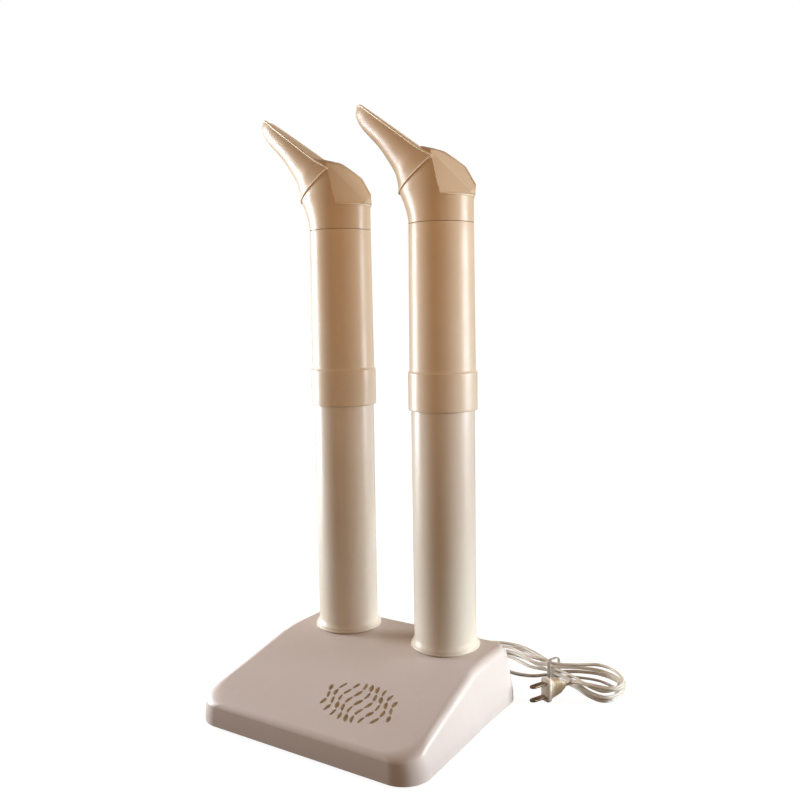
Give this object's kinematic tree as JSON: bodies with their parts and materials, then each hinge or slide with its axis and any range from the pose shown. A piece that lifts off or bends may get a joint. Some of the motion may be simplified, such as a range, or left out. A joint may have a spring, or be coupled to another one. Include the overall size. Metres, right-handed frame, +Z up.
{
  "type": "boot dryer",
  "caption": "Upright warm-air boot dryer: wedge base, tall round air tubes with slip-on risers and swivelling scoop-shaped toe guides, hidden heaters and a hanked mains cord.",
  "frame": {"origin": "centre of the underside of the middle rubber foot, on the floor midway between the axes of the two air tubes", "axes": "+Z up along the air tubes, -Y towards the front of the sloping panel, -X towards the left tube"},
  "size_m": [0.3274, 0.282, 0.5405],
  "materials": {
    "base_ivory": "satin",
    "tube_ivory": "satin",
    "pan_grey": "matte",
    "rubber": "matte",
    "steel": "satin",
    "ceramic": "unglazed ceramic",
    "heater_wire": "oxidised",
    "brass": "plain",
    "cutout_black": "matte",
    "connector": "matte",
    "lead_white": "satin",
    "lead_black": "satin",
    "tie": "matte",
    "cord_ivory": "satin"
  },
  "bodies": {
    "base": {"base_cover": "base_ivory", "base_pan": "pan_grey", "heater_plate": "steel", "left_lower_tube": "tube_ivory", "right_lower_tube": "tube_ivory", "thermal_cutout": "cutout_black", "strain_relief": "cord_ivory", "power_cord": "cord_ivory", "cord_tie": "tie", "plug_body": "cord_ivory", "plug_blade_lower": "brass", "plug_blade_upper": "brass", "wire_nut_live": "connector", "wire_nut_neutral": "connector", "foot_front_left": "rubber", "foot_front_right": "rubber", "foot_rear_left": "rubber", "foot_rear_right": "rubber", "foot_centre": "rubber", "pan_screw_1": "steel", "pan_screw_2": "steel", "pan_screw_3": "steel", "pan_screw_4": "steel", "plate_screw_1": "steel", "plate_screw_2": "steel", "left_heater_stud": "steel", "left_heater_core": "ceramic", "left_heater_nut": "brass", "left_heater_coil": "heater_wire", "right_heater_stud": "steel", "right_heater_core": "ceramic", "right_heater_nut": "brass", "right_heater_coil": "heater_wire", "lead_supply_live": "lead_black", "lead_cutout": "lead_black", "lead_left_live": "lead_black", "lead_right_live": "lead_black", "lead_supply_neutral": "lead_white", "lead_right_neutral": "lead_white", "lead_left_neutral": "lead_white"},
    "left_riser_body": {"left_riser": "tube_ivory"},
    "right_riser_body": {"right_riser": "tube_ivory"},
    "left_guide_body": {"left_toe_guide": "tube_ivory"},
    "right_guide_body": {"right_toe_guide": "tube_ivory"}
  },
  "joints": [
    {"name": "left_riser_lift", "type": "slide", "parent": "base", "child": "left_riser_body", "axis": [0, 0, 1], "range_m": [0, 0.03]},
    {"name": "right_riser_lift", "type": "slide", "parent": "base", "child": "right_riser_body", "axis": [0, 0, 1], "range_m": [0, 0.03]},
    {"name": "left_guide_swivel", "type": "hinge", "parent": "left_riser_body", "child": "left_guide_body", "pos_m": [-0.05495, 0, 0.4585], "axis": [0, 0, 1], "range_deg": [-16, 100]},
    {"name": "right_guide_swivel", "type": "hinge", "parent": "right_riser_body", "child": "right_guide_body", "pos_m": [0.05495, 0, 0.4585], "axis": [0, 0, 1], "range_deg": [-16, 100]}
  ]
}
